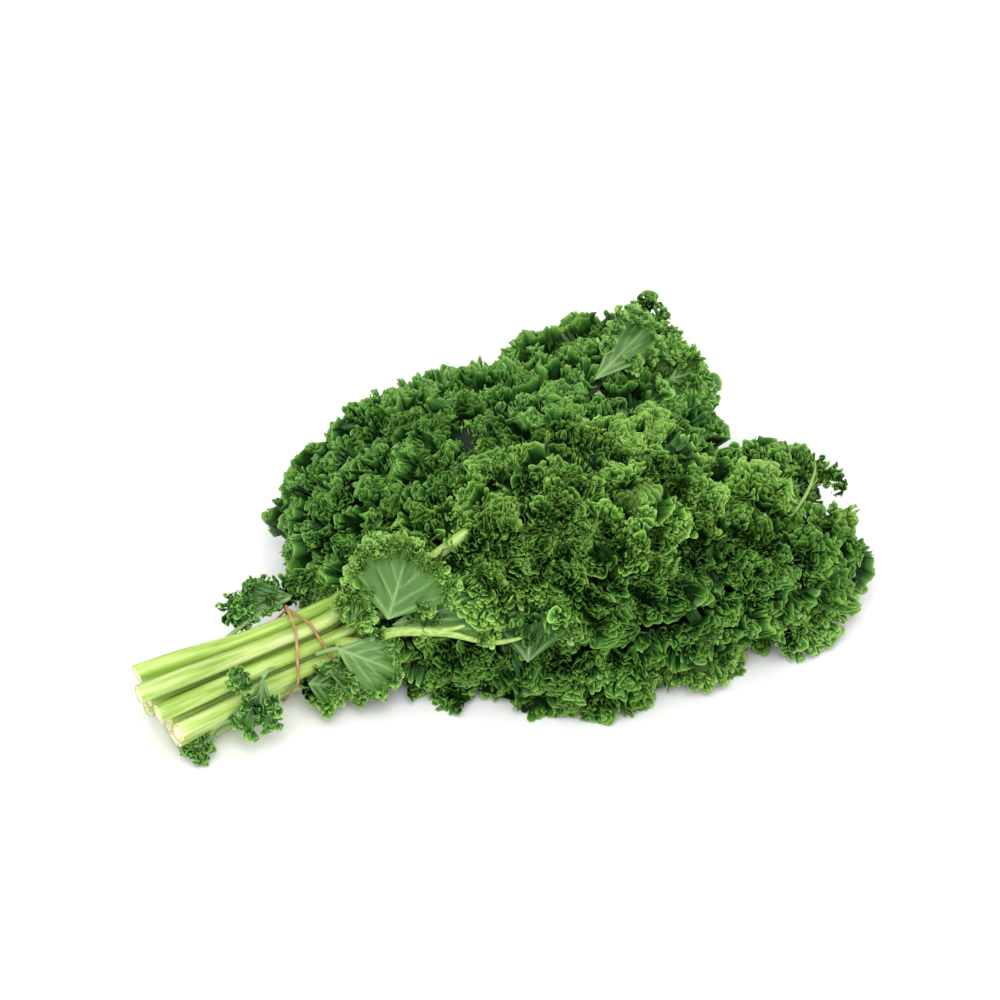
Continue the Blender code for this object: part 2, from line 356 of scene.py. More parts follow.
def swell(points):
    # hills and pits that run on from one curl to the next; the big numbers are radians a metre
    x, y, z = points[..., 0], points[..., 1], points[..., 2]
    hills = np.sin(x * 230 + 1.7 * np.sin(y * 120)) * np.sin(y * 210 + z * 190 + 1.4 * np.sin(x * 95))
    holes = np.sin(x * 165 + 1.9 * np.sin(z * 150 + 2.0))
    holes = holes * np.sin(y * 150 - z * 140 + 1.8 * np.sin(x * 130 + 1.0))
    return hills, ease((holes - head["pitFrom"]) / head["pitOver"])


# open spots where a smooth part of a leaf or a midrib shows: centre from the band, and radius
clearings = (
    ((0.05, -0.026, 0.068), 0.021),    # the smooth leaf by the neck
    ((0.07, -0.05, 0.055), 0.018),    # the front midrib and its fork
    ((0.048, -0.03, 0.044), 0.012),
    ((0.086, -0.071, 0.05), 0.013),
    ((0.066, -0.061, 0.053), 0.013),
    ((0.292, -0.086, 0.056), 0.014),    # the gap under the hooked leaf
    ((0.289, -0.044, 0.085), 0.014),    # the shoulder above it
    ((0.084, -0.028, 0.088), 0.014),    # the bright stalk in the middle
    ((0.226, 0.026, 0.116), 0.01),    # the smooth leaf at the far end
    ((0.211, 0.02, 0.117), 0.011),
)


def cleared(spot):
    return any((spot - place(centre)).length < radius for centre, radius in clearings)


def surfaceHits():
    verts, faces, owner = [], [], []
    for number in range(1, 15):
        mesh = nodes[f"leaf_{number:02d}"].data
        base = len(verts)
        verts += [v.co.copy() for v in mesh.vertices]
        for face in mesh.polygons:
            faces.append([base + i for i in face.vertices])
            owner.append(number)
    tree = BVHTree.FromPolygons(verts, faces)
    hits = []
    spine = [Vector((bandX + x, bandY + y, head["spineHeight"])) for x, y in head["spine"]]
    count = head["rays"] // len(spine)
    for start in spine:
        for k in range(count):
            z = 1 - 2 * (k + 0.5) / count
            a = k * goldenAngle
            flat = math.sqrt(1 - z * z)
            way = Vector((flat * math.cos(a), flat * math.sin(a), z))
            spot, normal, face, _ = tree.ray_cast(start + way * head["rayReach"], -way)
            if spot is None or spot.z < head["lowest"]:
                continue
            if normal.z < head["under"] or cleared(spot):
                continue
            hits.append((spot, (normal + way * head["outward"]).normalized(), owner[face]))
    return hits


def chooseLobes(rng, hits):
    # big lobes first, and smaller ones in the room between them
    chosen = []
    spots = np.zeros((0, 3))
    sizes = np.zeros(0)
    for kindSize, (most, _, _) in head["kinds"].items():
        if not most:
            continue
        count = 0
        for index in rng.permutation(len(hits)):
            spot, normal, number = hits[index]
            distance = np.linalg.norm(spots - np.array(spot), axis=1)
            if (distance < head["apart"] * (sizes + kindSize)).any():
                continue
            chosen.append((spot, normal, number, kindSize))
            spots = np.vstack([spots, np.array(spot)])
            sizes = np.append(sizes, kindSize)
            count += 1
            if count == most:
                break
        print("lobes", kindSize, count)
    return chosen


def smoothNormals(rng, chosen, hits):
    # each curl faces the way its surroundings do, a little off by chance
    spots = np.array([tuple(h[0]) for h in hits])
    normals = np.array([tuple(h[1]) for h in hits])
    out = []
    for spot, normal, number, size in chosen:
        near = np.exp(-((spots - np.array(spot)) ** 2).sum(1) / (2 * head["blur"] ** 2))
        mean = (normals * near[:, None]).sum(0) + np.array(normal) * head["own"]
        mean = mean / np.linalg.norm(mean) + rng.normal(0, head["tilts"][size], 3)
        out.append((spot, Vector(mean).normalized(), number, size))
    return out


def lobeLimits(lobes, index):
    # how far a curl may reach each way before it meets its neighbours
    spot, axis, _, size = lobes[index]
    side, other = crossWays(axis)
    angles = np.arange(head["bins"]) / head["bins"] * 2 * math.pi
    limits = np.full(head["bins"], size * head["widest"])
    for j, (there, _, _, its) in enumerate(lobes):
        gap = there - spot
        long = gap.length
        # curls of the head and curls that stand out past it don't limit each other
        if j == index or long > head["nearby"] or (index >= inside) != (j >= inside):
            continue
        flat = Vector((gap.dot(side), gap.dot(other)))
        if flat.length < 0.004:
            continue
        flat.normalize()
        facing = np.cos(angles) * flat.x + np.sin(angles) * flat.y
        half = long * size / (size + its) * head["overlap"]
        limit = np.where(facing > head["facing"], half / np.maximum(facing, head["facing"]), 9)
        limits = np.minimum(limits, limit)
    limits = (np.roll(limits, 1) + limits * 2 + np.roll(limits, -1)) / 4
    return np.maximum(limits, head["least"])


def newMaterial(name):
    material = bpy.data.materials.new(name)
    material.use_nodes = True
    tree = material.node_tree
    return material, tree, tree.nodes["Principled BSDF"]


def node(tree, kind, inputs=(), **settings):
    made = tree.nodes.new(kind)
    for key, value in settings.items():
        setattr(made, key, value)
    for key, value in dict(inputs).items():
        if isinstance(value, bpy.types.NodeSocket):
            tree.links.new(value, made.inputs[key])
        else:
            made.inputs[key].default_value = value
    return made


def ramp(tree, factor, stops):
    made = tree.nodes.new("ShaderNodeValToRGB")
    tree.links.new(factor, made.inputs["Fac"])
    while len(made.color_ramp.elements) < len(stops):
        made.color_ramp.elements.new(0.5)
    for element, (position, colour) in zip(made.color_ramp.elements, stops):
        element.position = position
        element.color = (*colour, 1)
    return made.outputs["Color"]


def mix(tree, factor, first, second, blend="MIX"):
    made = tree.nodes.new("ShaderNodeMix")
    made.data_type = "RGBA"
    made.blend_type = blend
    for slot, value in ((0, factor), (6, first), (7, second)):
        if isinstance(value, bpy.types.NodeSocket):
            tree.links.new(value, made.inputs[slot])
        else:
            made.inputs[slot].default_value = value if slot == 0 else (*value, 1)
    return made.outputs[2]


def attribute(tree, name):
    return node(tree, "ShaderNodeAttribute", attribute_name=name).outputs["Fac"]


def noise(tree, where, scale, detail):
    inputs = {"Vector": where, "Scale": scale, "Detail": detail}
    return node(tree, "ShaderNodeTexNoise", inputs).outputs["Fac"]


def surface(tree, shader, colour, uneven, rough, height, strength, distance):
    # the colour, a roughness between two values, and a fine bump
    tree.links.new(colour, shader.inputs["Base Color"])
    between = node(tree, "ShaderNodeMapRange", {"Value": uneven, "To Min": rough[0], "To Max": rough[1]})
    tree.links.new(between.outputs[0], shader.inputs["Roughness"])
    bump = node(tree, "ShaderNodeBump", {"Height": height, "Strength": strength, "Distance": distance})
    tree.links.new(bump.outputs[0], shader.inputs["Normal"])


def leafMaterial():
    material, tree, shader = newMaterial("kale leaf")
    where = node(tree, "ShaderNodeTexCoord").outputs["Object"]
    rim, tint, vein = (attribute(tree, name) for name in ("rim", "tint", "vein"))
    # painted light: the curl walls go near black towards their foot as painted shade, and light green at the
    # margin as a painted highlight
    cool = ramp(tree, rim, ((0.0, (0.002, 0.01, 0.002)), (0.62, (0.007, 0.036, 0.006)),
                            (0.82, (0.03, 0.13, 0.02)), (0.91, (0.075, 0.23, 0.038)),
                            (0.965, (0.2, 0.42, 0.095)), (1.0, (0.3, 0.56, 0.15))))
    warm = ramp(tree, rim, ((0.0, (0.003, 0.012, 0.001)), (0.62, (0.012, 0.045, 0.004)),
                            (0.82, (0.047, 0.152, 0.015)), (0.91, (0.105, 0.26, 0.03)),
                            (0.965, (0.26, 0.46, 0.08)), (1.0, (0.36, 0.59, 0.13))))
    colour = mix(tree, tint, cool, warm)
    patches = noise(tree, where, 45.0, 3.0)
    colour = mix(tree, 0.35, colour, ramp(tree, patches, ((0.3, (0.55, 0.55, 0.55)), (0.7, (1.5, 1.5, 1.4)))),
                 "MULTIPLY")
    colour = mix(tree, vein, colour, (0.25, 0.4, 0.145))
    surface(tree, shader, colour, patches, (0.36, 0.56), noise(tree, where, 900.0, 2.0), 0.45, 0.0004)
    shader.inputs["Specular IOR Level"].default_value = 0.28
    return material


leafLook = leafMaterial()

faceOut = (-0.43, -0.66, 0.62)
# curls that stand out past the head: leaf, size, and their middles from the band in millimetres
outliers = (
    # the two leaves that stand up at the far end
    (12, 0.0085, ((295, 87, 96), (284, 82, 96), (295, 75, 94), (271, 73, 96))),
    (12, 0.013, ((282, 67, 95),)), (12, 0.0085, ((290, 61, 91),)),
    (12, 0.0185, ((250, 34, 87), (266, 34, 81), (255, 50, 90), (273, 56, 88))),
    (12, 0.013, ((281, 51, 91), (283, 51, 88), (285, 49, 86), (282, 28, 88))),
    (12, 0.0185, ((273, 38, 84), (273, 24, 79))), (11, 0.013, ((279, 17, 81),)),
    (11, 0.0185, ((263, 16, 81),)), (11, 0.013, ((270, 8, 79),)),
    # the leaf that hooks over on the right
    (11, 0.013, ((251, -52, 81),)), (10, 0.013, ((267, -56, 78), (283, -59, 74))),
    (7, 0.0085, ((291, -60, 72), (298, -62, 70), (304, -65, 67), (308, -70, 64))),
    (7, 0.005, ((311, -74, 60), (312, -78, 57))), (7, 0.0085, ((289, -66, 67),)),
    (7, 0.013, ((270, -82, 61), (272, -72, 66))),
    # the low lobe under it
    (6, 0.013, ((280, -92, 46),)), (6, 0.0185, ((288, -101, 36),)),
    (3, 0.0185, ((286, -112, 29), (275, -121, 25))), (1, 0.0185, ((262, -127, 21),)),
    (1, 0.013, ((245, -130, 16),)),
)

# curls behind those, which face away from the middle of the head
backers = (
    (12, 0.0185, ((256, 66, 88), (280, 84, 80))),
    (12, 0.013, ((296, 74, 82), (268, 92, 76), (292, 90, 84))), (12, 0.0185, ((236, 52, 94),)),
    (7, 0.013, ((300, -58, 66), (288, -50, 66))),
)

# how the curls of a leaf are set: outliers reach at least outLeast of their size and are outFlat as deep
setting = {"middle": (0.19, 0.0, 0.045), "outLeast": 0.8, "outFlat": 0.55, "proud": (0.5, 1.0), "neck": 0.9,
           "low": 0.2, "crown": 0.0085, "crownFrom": 0.095, "crownOver": 0.022, "domes": (0.85, 1.15),
           "pitShade": 0.22, "shadeDepth": 7, "thinUnder": -0.15, "thinBelow": 0.02, "floor": 0.001,
           "floorSoft": 0.0006, "tintSpread": 0.12}
paintedLeafShade = {10: 1.0, 13: 1.0, 11: 0.985, 12: 0.985, 14: 0.977}    # painted shade: how bright the rims are, by leaf; all but the two middle leaves get dimmer rims
otherPaintedShade = 0.973


def eachCurl(groups):
    # the leaf, size and middle of every curl, in metres
    for leaf, size, spots in groups:
        for spot in spots:
            yield leaf, size, [value / 1000 for value in spot]


rng = np.random.default_rng(head["seed"])
hits = surfaceHits()
middle = Vector(setting["middle"])
lobes = smoothNormals(rng, chooseLobes(rng, hits), hits)
inside = len(lobes)
for number, size, spot in eachCurl(outliers):
    away = (Vector(spot) - middle).normalized() * 0.5 + Vector(faceOut) * 0.8
    lobes.append((place(spot), away.normalized(), number, size))
for number, size, spot in eachCurl(backers):
    lobes.append((place(spot), (Vector(spot) - middle + Vector((0, 0, 0.03))).normalized(), number, size))
print("hits", len(hits), "lobes", len(lobes))

leafSheets = {number: Sheets() for number in range(1, 15)}
leafTints = {number: 0.5 + 0.22 * math.sin(number * 2.1) for number in range(1, 15)}
for index, (spot, axis, number, size) in enumerate(lobes):
    limits = lobeLimits(lobes, index)
    _, dome, depth = head["kinds"][size]
    neck = (1 - ease((spot.x - bandX - 0.07) / 0.05)) * ease((spot.z - 0.05) / 0.02)
    low = setting["low"] + (1 - setting["low"]) * ease((spot.z - 0.012) / 0.03)
    top = spot + axis * head["proud"] * (rng.uniform(*setting["proud"]) + neck * setting["neck"]) * low
    if index < inside:
        top.z -= setting["crown"] * ease((spot.z - setting["crownFrom"]) / setting["crownOver"])
    else:
        limits = np.maximum(limits, size * setting["outLeast"])
        depth *= setting["outFlat"]
    points, rim = lobe(rng, size, top, axis, limits, (dome * rng.uniform(*setting["domes"]), depth))
    if index < inside:
        hills, pits = swell(points)
        rise = hills * head["hills"] - pits * head["pits"]
        points += np.array(axis) * rise[..., None] * rim[..., None]
        # painted shade: rims darker in the pits, and dimmer, with walls that darken faster, on every leaf
        # whose shade is under 1
        shade = paintedLeafShade.get(number, otherPaintedShade)
        wallShade = 1 - setting["shadeDepth"] * (1 - shade) * (1 - rim)
        rim = rim * (1 - setting["pitShade"] * pits) * shade * wallShade
    if axis.z < setting["thinUnder"] or spot.z < setting["thinBelow"]:
        points, rim = points[:, ::2], rim[:, ::2]
    z, floor = points[..., 2], setting["floor"]
    points[..., 2] = np.where(z < floor, floor + setting["floorSoft"] * np.tanh(z / 0.01), z)
    tint = leafTints[number] + rng.uniform(-setting["tintSpread"], setting["tintSpread"])
    leafSheets[number].add(points[:2, ::2], rim=rim[:2, ::2], tint=tint)
    leafSheets[number].add(points[1:], rim=rim[1:], tint=tint)


lamina = {"rows": 32, "columns": 17, "inset": 0.013, "least": 0.002, "end": 0.7, "hump": 0.012, "wave": 0.22,
          "waves": 260, "below": 0.001, "crest": 0.0075}


def bladeSheet(rng, row, column):
    # the plain lamina under the curls, wavy, rising to its midrib
    shares = np.linspace(0, 1, lamina["rows"])
    sides = np.linspace(-1, 1, lamina["columns"])
    points = np.zeros((len(shares), len(sides), 3))
    waveA, waveB = rng.uniform(0, 6, 2)
    for i, share in enumerate(shares):
        middle, _ = ribPoint(share, row, column)
        low, high, floor, top = cell(middle.x, row, column)
        left = max(middle.y - low - lamina["inset"], lamina["least"])
        right = max(high - middle.y - lamina["inset"], lamina["least"])
        width = ease(share / 0.12) * 0.8 + 0.2
        width *= 1 - lamina["end"] * ease((share - 0.75) / 0.25)
        y = middle.y + sides * (np.where(sides < 0, left, right) * width)
        level = (floor + top) / 2
        hump = np.exp(-((y - middle.y) / lamina["hump"]) ** 2)
        wave = np.sin(y * lamina["waves"] + waveA + 3 * math.sin(share * 9)) * np.sin(share * 17 + waveB)
        wave = wave * (top - floor) * lamina["wave"]
        crest = middle.z - lamina["below"] - lamina["crest"] * ease((middle.x - 0.042) / 0.05)
        z = level + (crest - level) * hump + wave * (1 - hump)
        points[i, :, 0] = middle.x + bandX
        points[i, :, 1] = y + bandY
        points[i, :, 2] = np.maximum(z, lamina["least"])
    return points


# a smooth fan of leaf: curls has each fringe curl's size with its step and its depth
fan = {"wave": 0.0085, "ruffle": 0.003, "ruffleTurn": 0.6, "cup": 0.1, "round": 0.22, "ragged": 0.12,
       "edge": 0.66, "swell": 0.0019, "midrib": 0.00085, "vein": 0.0007, "veinTone": 0.75, "raised": 0.0005,
       "edgeHighlight": 0.12, "fringeOut": 0.0015, "fringeRim": 0.62, "forks": (0.03, 0.05, 0.2, 0.27, 0.42, 0.5),
       "curls": {0.0085: (0.008, 0.0065), 0.005: (0.0044, 0.0042)}}


def branchingVeins(angle, out, r, spread):
    # a midrib and side veins that leave it at each fork, to both hands by turns
    vein = np.exp(-(angle * out / (fan["midrib"] * (1.3 - r))) ** 2)
    for k, start in enumerate(fan["forks"]):
        hand = 1 if k % 2 else -1
        gone = np.clip(1 - start / np.maximum(r, 1e-3), 0, 1) ** 0.9
        way = hand * spread * (0.9 - 0.15 * (k // 2)) * gone
        branch = np.exp(-((angle - way) * out / (fan["vein"] * (1.3 - r))) ** 2)
        vein = np.maximum(vein, branch * (r > start) * fan["veinTone"])
    return vein


def fringedFan(rng, sheet, base, tip, facing, spread, pale, tint, columns=70, rows=20, full=True,
               curl=0.0085, bright=0.79):
    # a smooth fan of leaf with branching veins, its margin gathered into curls
    base, tip = np.array(place(base)), np.array(place(tip))
    along = tip - base
    length = np.linalg.norm(along)
    along /= length
    up = np.array(facing, float)
    up -= along * (up @ along)
    up /= np.linalg.norm(up)
    side = np.cross(up, along)
    share = np.linspace(0, 1, columns)
    angle = ((share * 2 - 1) * spread)[None, :]
    r = (np.linspace(0, 1, rows) ** 0.75)[:, None]
    outline = 1 - fan["round"] * (angle / spread) ** 4 + fan["ragged"] * wander(rng, share, 6)[None, :]
    reach = length * outline
    edge = ease((r - fan["edge"]) / (1 - fan["edge"]))
    waves = 4 * math.pi * spread * length / fan["wave"] * share
    phase = (waves + 2.2 * wander(rng, share, 7) + rng.uniform(0, 6))[None, :]
    size = fan["ruffle"] * (1 + 0.5 * wander(rng, share, 9)[None, :])
    out = reach * r
    humps = fan["swell"] * np.sin(out * 190 + 3 * np.sin(phase * 0.21))
    humps = humps * np.sin(angle / spread * 5 + rng.uniform(0, 6))
    lift = edge * size * np.sin(phase) + humps * (1 - edge) * r + fan["cup"] * out * (angle / spread) ** 2
    turn = angle + edge * size * fan["ruffleTurn"] * np.sin(2 * phase) / (reach + tiny)
    vein = branchingVeins(angle, out, r, spread)
    lift = lift + fan["raised"] * vein * (1 - edge)
    points = (base + along * (out * np.cos(turn))[..., None] + side * (out * np.sin(turn))[..., None]
              + up * lift[..., None])
    colour = np.clip(pale * (1 - edge * 0.7) + vein * (1 - edge * 0.6) * 0.7, 0, 1)
    # painted highlight: the fan's ruffled edge is lighter; the fringe curls get painted shade at their foot
    # and a painted highlight at their margin
    sheet.add(points, rim=bright + fan["edgeHighlight"] * edge, vein=colour, tint=tint)
    # the fringe: small curls side by side along the outer margin and down both sides
    outline = [points[-1, k] for k in range(columns)]
    if full:
        sides = [points[k, 0] for k in range(rows // 2, rows)]
        outline = sides + outline + [points[k, -1] for k in range(rows - 1, rows // 2, -1)]
    outline = np.array(outline)
    walked = np.concatenate([[0], np.cumsum(np.linalg.norm(outline[1:] - outline[:-1], axis=1))])
    step, deep = fan["curls"][curl]
    steps = max(int(walked[-1] / 1.5 / step), 2)
    centre = base + along * length * 0.55
    dome = head["kinds"][curl][1]
    for k in range(steps + 1):
        spot = outline[min(np.searchsorted(walked, walked[-1] * k / steps), len(outline) - 1)]
        away = spot - centre
        away /= np.linalg.norm(away)
        axis = Vector(up * rng.uniform(0.5, 1.0) + away * 0.7).normalized()
        limits = np.full(head["bins"], curl * rng.uniform(0.7, 1.0))
        frill, deepness = lobe(rng, curl, Vector(spot) + axis * fan["fringeOut"], axis, limits, (dome, deep))
        frillRim = fan["fringeRim"] + (1 - fan["fringeRim"]) * deepness
        sheet.add(frill, rim=frillRim, tint=tint, vein=pale * 0.25)


# the smooth leaves: leaf, base and tip from the band, spread, paleness, and whether curls go down both sides
fans = (
    (10, (0.038, -0.034, 0.058), (0.057, -0.027, 0.0955), 0.95, 0.2, True),
    (10, (0.042, -0.031, 0.05), (0.092, -0.061, 0.07), 0.36, 0.16, False),
    (10, (0.0185, -0.0245, 0.0515), (0.031, -0.02, 0.066), 0.55, 0.05, True),
    (14, (0.209, 0.021, 0.115), (0.2725, 0.0575, 0.107), 0.3, 0.3, True),
    (7, (0.262, -0.094, 0.056), (0.296, -0.108, 0.042), 0.65, 0.0, True),
    (12, (0.262, 0.02, 0.096), (0.288, 0.026, 0.088), 0.6, 0.0, True),
)
for number, base, tip, spread, pale, full in fans:
    fringedFan(rng, leafSheets[number], base, tip, faceOut, spread, pale, leafTints[number], full=full)

# smaller smooth parts of leaves, here and there among the curls
smooth = {"count": 8, "length": (0.024, 0.036), "spread": (0.6, 0.95), "pale": (0.0, 0.04), "lift": 0.005,
          "sink": 0.016, "from": 0.07, "below": 0.092}
for index in rng.permutation(inside)[:smooth["count"]]:
    spot, axis, number, _ = lobes[index]
    if spot.x - bandX < smooth["from"] or spot.z > smooth["below"]:
        continue
    side = axis.cross(Vector((rng.normal(), rng.normal(), rng.normal()))).normalized()
    length = rng.uniform(*smooth["length"])
    middleSpot = spot + axis * smooth["lift"] - Vector((bandX, bandY, 0))
    fringedFan(rng, leafSheets[number], middleSpot - side * length * 0.6 - axis * smooth["sink"],
               middleSpot + side * length / 2, axis, rng.uniform(*smooth["spread"]),
               rng.uniform(*smooth["pale"]), leafTints[number], columns=36, rows=12, full=False, bright=0.72)

for number, (row, column) in leafPlaces.items():
    sheet = leafSheets[number]
    # painted shade: the lamina under the curls is coloured near black
    sheet.add(bladeSheet(rng, row, column), rim=0.05, tint=0.3)
    made = sheet.make(f"kale_leaf_{number:02d}", leafLook)
    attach(made, "root")
    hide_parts(f"leaf_{number:02d}")
print("leaves made")


stalk = {"sides": 18, "step": 0.0042, "sink": 0.012, "under": 0.075, "ridge": 0.08, "bevel": 0.0007,
         "cut": 0.076, "rowShift": 0.0042, "scatter": 0.004, "splayOut": 1.42, "splayUp": 1.24,
         "lowEnd": 0.007, "thick": 0.0063, "taper": 0.0015, "bound": 0.0048, "fill": 0.85, "groove": 0.16,
         "grooveWide": 0.42, "knob": 0.02, "oval": 0.96, "slant": 0.25, "greenFrom": 0.32, "greenOver": 0.35,
         "green": 0.6}
# the rings of a cut face from its middle out: radius, how far each stands back, and its colour mark
cutRings = ((0.0, 0.0005, 0.03), (0.35, 0.0004, 0.3), (0.62, 0.0003, 0.6), (0.8, -0.0001, 0.82),
            (0.93, 0.0, 1.0))


def stalkLine(row, column, number):
    # the stalk's middle line and radius, from its cut end to the end of its midrib
    y, z = stalkSlot(row, column)
    cut = -(stalk["cut"] + stalk["rowShift"] * row + stalk["scatter"] * math.cos(2.4 * number))
    endY = y * stalk["splayOut"]
    endZ = stalk["lowEnd"] + (z - lowestStalk) * stalk["splayUp"]
    points, radii = [], []
    for share in (0.0, 0.35, 0.7, 0.88, 1.0):
        lift = ease(share)
        x = cut * (1 - share) - 0.014 * share
        points.append(Vector((x, endY + (y - endY) * lift, endZ + (z - endZ) * lift)))
        radii.append(stalk["thick"] - stalk["taper"] * lift)
    points.append(Vector((0.018, y, z)))
    radii.append(stalk["bound"])
    first, firstRadius = ribPoint(0, row, column)
    points.append(Vector((0.036, y + (first.y - y) * 0.5, z + (first.z - z) * 0.45)))
    radii.append(stalk["bound"] + (firstRadius - stalk["bound"]) * 0.6)
    for k in range(11):
        point, radius = ribPoint(k / 12, row, column)
        if point.x < stalk["under"]:
            continue
        point.z -= stalk["sink"]
        points.append(point)
        radii.append(radius)
    return placed(points), np.array(radii)


def smoothLine(points, radii, step):
    # a smooth curve through the points, at an even step
    wide = np.vstack([2 * points[0] - points[1], points, 2 * points[-1] - points[-2]])
    fat = np.concatenate([[radii[0]], radii, [radii[-1]]])
    out, thick = [], []
    for k in range(1, len(wide) - 2):
        p0, p1, p2, p3 = wide[k - 1:k + 3]
        count = max(int(np.linalg.norm(p2 - p1) / step), 1)
        f = (np.arange(count) / count)[:, None]
        m1, m2 = (p2 - p0) / 2, (p3 - p1) / 2
        out.append((2 * f ** 3 - 3 * f ** 2 + 1) * p1 + (f ** 3 - 2 * f ** 2 + f) * m1
                   + (3 * f ** 2 - 2 * f ** 3) * p2 + (f ** 3 - f ** 2) * m2)
        thick.append(fat[k] + (fat[k + 1] - fat[k]) * f[:, 0])
    out.append(wide[-2][None])
    thick.append(fat[-2:-1])
    return np.concatenate(out), np.concatenate(thick)


def frames(line):
    # directions along a line, to its side and up
    along = unit(np.gradient(line, axis=0))
    side = unit(np.cross(np.array((0, 0, 1)), along))
    return along, side, np.cross(along, side)


def ringsAlong(line, side, up, turns, thick, oval=1.0):
    wide = (np.cos(turns)[None, :] * thick)[..., None]
    tall = (np.sin(turns)[None, :] * thick * oval)[..., None]
    return line[:, None, :] + side[:, None, :] * wide + up[:, None, :] * tall


def tubeMesh(name, tubes, material):
    # closed tubes in one mesh, from rings whose first and last points meet
    bm = bmesh.new()
    for rings, values in tubes:
        rows, columns = rings.shape[:2]
        first = len(bm.verts)
        bmesh.ops.create_grid(bm, x_segments=columns - 1, y_segments=rows - 1, size=1)
        flat = rings.reshape(-1, 3)
        for key, value in values.items():
            layer = bm.verts.layers.float.get(key) or bm.verts.layers.float.new(key)
            spread = np.broadcast_to(value, (rows, columns)).reshape(-1)
            bm.verts.ensure_lookup_table()
            for index in range(len(flat)):
                bm.verts[first + index][layer] = spread[index]
        for index in range(len(flat)):
            bm.verts[first + index].co = flat[index]
    bmesh.ops.remove_doubles(bm, verts=bm.verts, dist=2e-6)
    bmesh.ops.recalc_face_normals(bm, faces=bm.faces)
    mesh = bpy.data.meshes.new(name)
    bm.to_mesh(mesh)
    bm.free()
    return finishMesh(name, mesh, material)


def stalkMaterial():
    material, tree, shader = newMaterial("kale stalk")
    where = node(tree, "ShaderNodeTexCoord").outputs["Object"]
    cut, along, tone = (attribute(tree, name) for name in ("cut", "along", "tone"))
    long = node(tree, "ShaderNodeMapping", {"Vector": where, "Scale": (9.0, 220.0, 220.0)})
    streaks = noise(tree, long.outputs[0], 1.6, 4.0)
    pale = ramp(tree, streaks, ((0.28, (0.235, 0.38, 0.07)), (0.46, (0.4, 0.54, 0.14)),
                                (0.6, (0.54, 0.65, 0.26)), (0.76, (0.72, 0.78, 0.47))))
    patches = ramp(tree, noise(tree, where, 40.0, 3.0), ((0.3, (0.62, 0.75, 0.5)), (0.65, (1.15, 1.1, 1.0))))
    colour = mix(tree, 0.35, pale, patches, "MULTIPLY")
    colour = mix(tree, tone, colour, (0.86, 0.97, 0.62), "MULTIPLY")
    colour = mix(tree, along, colour, (0.21, 0.37, 0.085))
    face = ramp(tree, cut, ((0.05, (0.8, 0.84, 0.42)), (0.55, (0.86, 0.86, 0.56)),
                            (0.8, (0.52, 0.44, 0.18)), (0.97, (0.76, 0.68, 0.38))))
    grain = ramp(tree, noise(tree, where, 900.0, 3.0), ((0.35, (0.6, 0.55, 0.4)), (0.6, (1.1, 1.1, 1.1))))
    face = mix(tree, 0.4, face, grain, "MULTIPLY")
    isCut = node(tree, "ShaderNodeMath", {0: cut, 1: 0.02}, operation="GREATER_THAN")
    colour = mix(tree, isCut.outputs[0], colour, face)
    surface(tree, shader, colour, streaks, (0.26, 0.46), streaks, 0.35, 0.0006)
    return material


# midribs and thick veins that show between the curls: their stalk, where along a stalk's colours they
# start, points from the band, and radii
sideRibs = (
    (10, 0.15, ((0.016, -0.012, 0.036), (0.03, -0.026, 0.04), (0.041, -0.0355, 0.049),
                (0.062, -0.053, 0.051), (0.08, -0.071, 0.049), (0.092, -0.083, 0.055)),
     (0.0034, 0.0031, 0.0029, 0.0024, 0.0017, 0.0008)),
    (10, 0.15, ((0.054, -0.047, 0.05), (0.07, -0.0575, 0.055), (0.086, -0.066, 0.061),
                (0.094, -0.071, 0.076)), (0.0016, 0.0014, 0.001, 0.0005)),
    (13, 0.15, ((0.06, -0.012, 0.062), (0.067, -0.031, 0.084), (0.081, -0.0355, 0.0945),
                (0.093, -0.0345, 0.098), (0.108, -0.026, 0.09)), (0.0032, 0.0032, 0.0034, 0.003, 0.0016)),
    (7, 0.62, ((0.262, -0.088, 0.058), (0.28, -0.084, 0.069), (0.295, -0.074, 0.0735),
               (0.304, -0.064, 0.073)), (0.0012, 0.001, 0.0008, 0.0004)),
)


def sideRib(green, points, radii):
    line, thick = smoothLine(placed(points), np.array(radii), 0.0025)
    _, side, up = frames(line)
    rings = ringsAlong(line, side, up, np.linspace(0, 2 * math.pi, 13), thick[:, None])
    rings[0], rings[-1] = line[0], line[-1]
    return rings, {"cut": 0.0, "along": np.linspace(green, green + 0.3, len(line))[:, None], "tone": 0.6}


